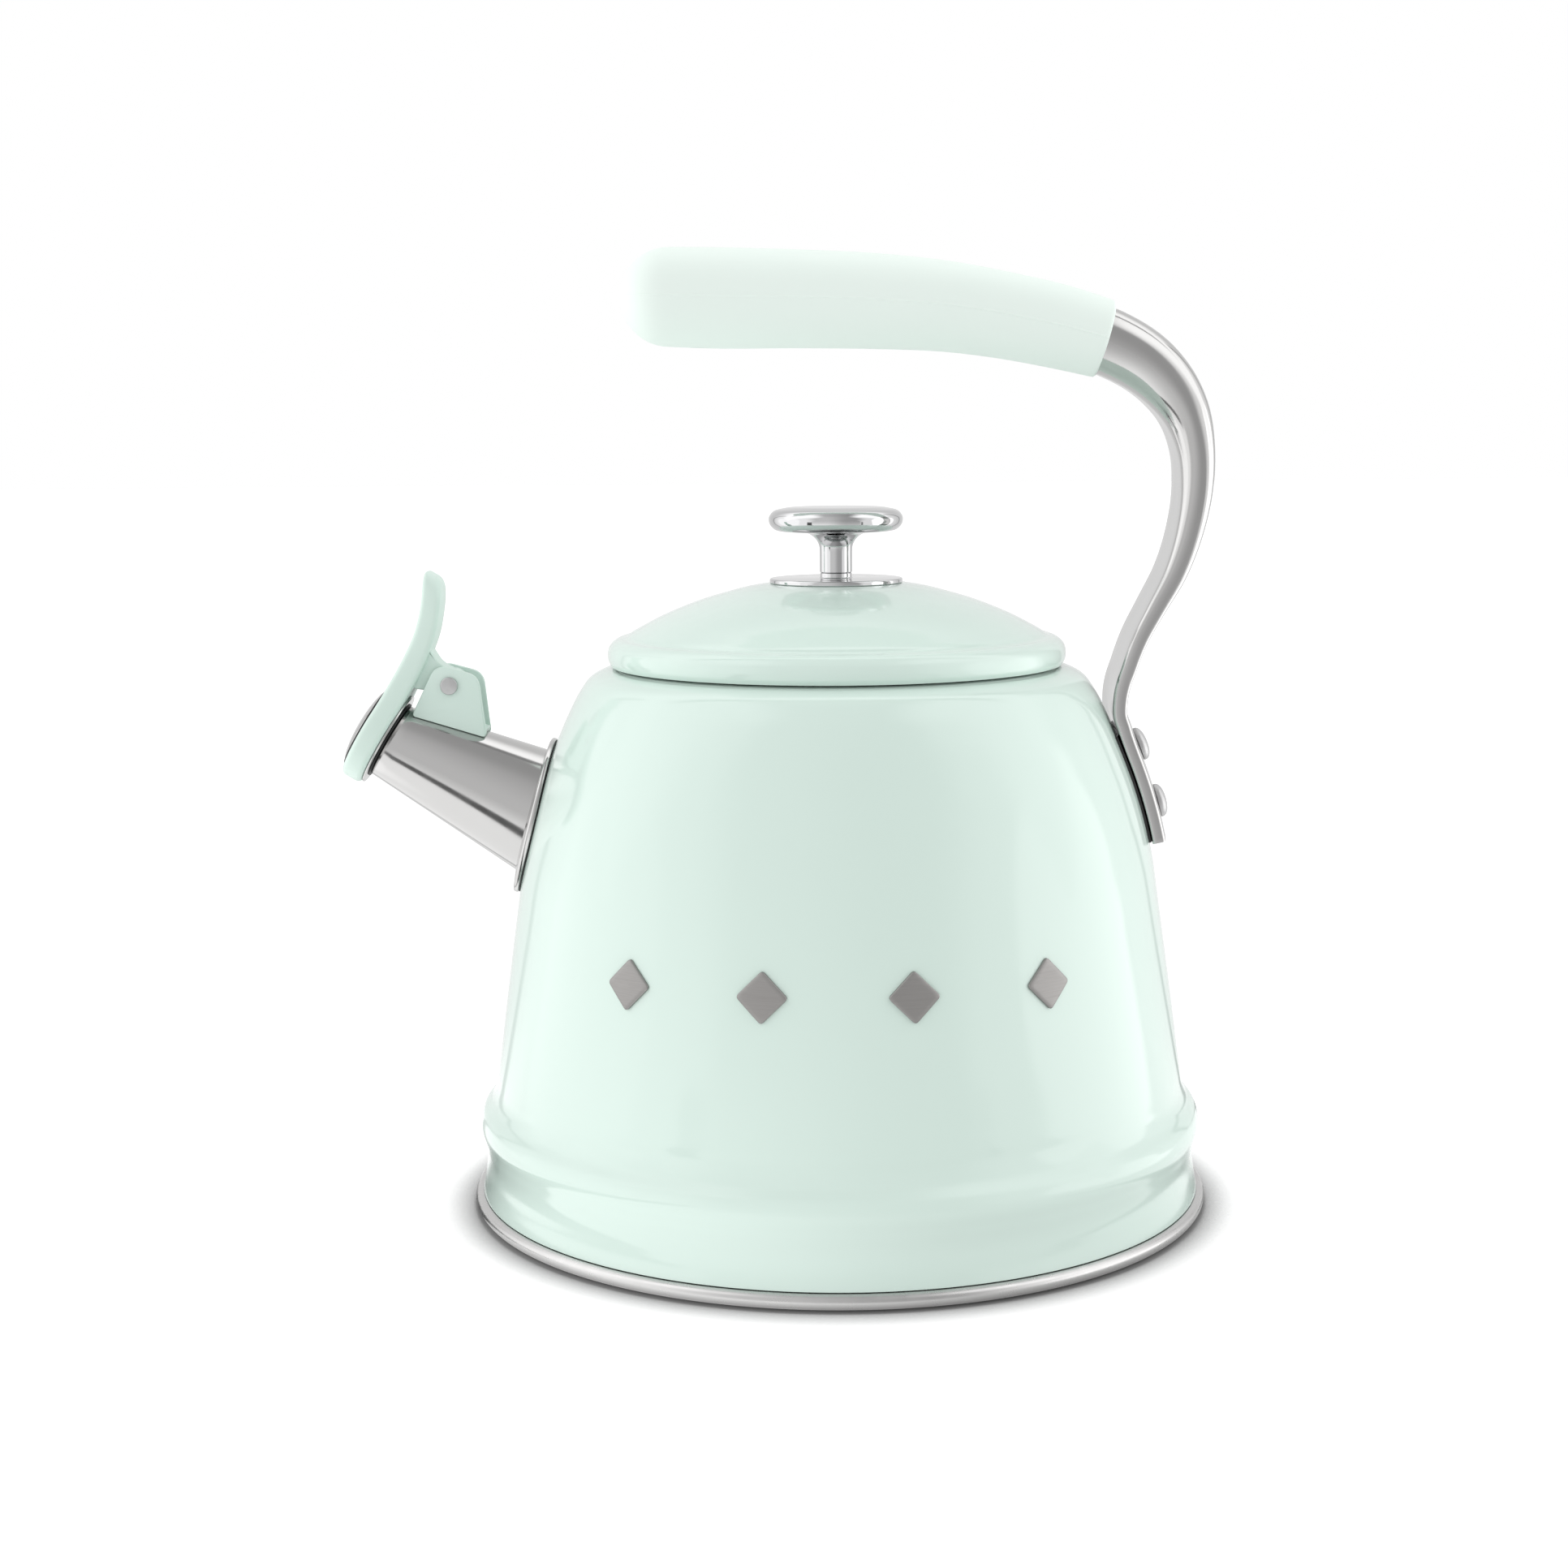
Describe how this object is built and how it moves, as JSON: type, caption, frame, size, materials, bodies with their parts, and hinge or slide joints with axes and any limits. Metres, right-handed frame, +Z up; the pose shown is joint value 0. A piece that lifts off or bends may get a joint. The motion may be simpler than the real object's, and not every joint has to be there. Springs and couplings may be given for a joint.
{
  "type": "stovetop whistling kettle",
  "caption": "Stovetop kettle with an enamelled steel body, lift-off lid with a turned knob, conical spout with a sprung whistle lever, and a fixed handle with a soft grip.",
  "frame": {"origin": "centre of the flat plate that rests on the hob", "axes": "+Z up, the spout points to -X, the handle is riveted at +X, -Y is the front with the ornaments"},
  "size_m": [0.2421, 0.2062, 0.2646],
  "materials": {
    "mint_enamel": "glossy mint enamel",
    "mint_plastic": "satin mint nylon",
    "mint_soft": "soft-touch mint plastic",
    "polished_steel": "polished stainless steel",
    "chrome_knob": "mirror chrome",
    "brushed_steel": "brushed stainless steel",
    "satin_steel": "satin stainless steel",
    "aluminium_core": "bare aluminium",
    "black_silicone": "matt black silicone"
  },
  "bodies": {
    "kettle": {"body_shell": "mint_enamel", "base_pan": "satin_steel", "heat_disc": "aluminium_core", "base_plate": "satin_steel", "front_ornaments": "brushed_steel", "spout_tube": "polished_steel", "spout_collar": "polished_steel", "spout_seal": "black_silicone", "hinge_bracket": "mint_enamel", "hinge_pin": "satin_steel", "hinge_spring": "satin_steel", "handle_bar": "polished_steel", "handle_grip": "mint_soft", "handle_pad": "black_silicone", "handle_rivets": "satin_steel", "rivet_plate": "satin_steel"},
    "lid": {"lid_shell": "mint_enamel", "lid_skirt": "satin_steel", "lid_seal": "black_silicone", "knob": "chrome_knob", "knob_plate": "chrome_knob", "knob_screw": "satin_steel", "knob_washer": "satin_steel"},
    "whistle": {"whistle_lever": "mint_plastic", "whistle_plate": "polished_steel", "whistle_cover": "polished_steel", "whistle_seal": "black_silicone"}
  },
  "joints": [
    {"name": "whistle_hinge", "type": "hinge", "parent": "kettle", "child": "whistle", "pos_m": [-0.1073, 0, 0.1456], "axis": [0, 1, 0], "range_deg": [0, 50], "stiffness_Nm_per_rad": 0.05, "springref_deg": -57.3, "deforming": ["hinge_spring"]},
    {"name": "lid_lift", "type": "slide", "parent": "kettle", "child": "lid", "axis": [0, 0, 1], "range_m": [0, 0.04]}
  ]
}
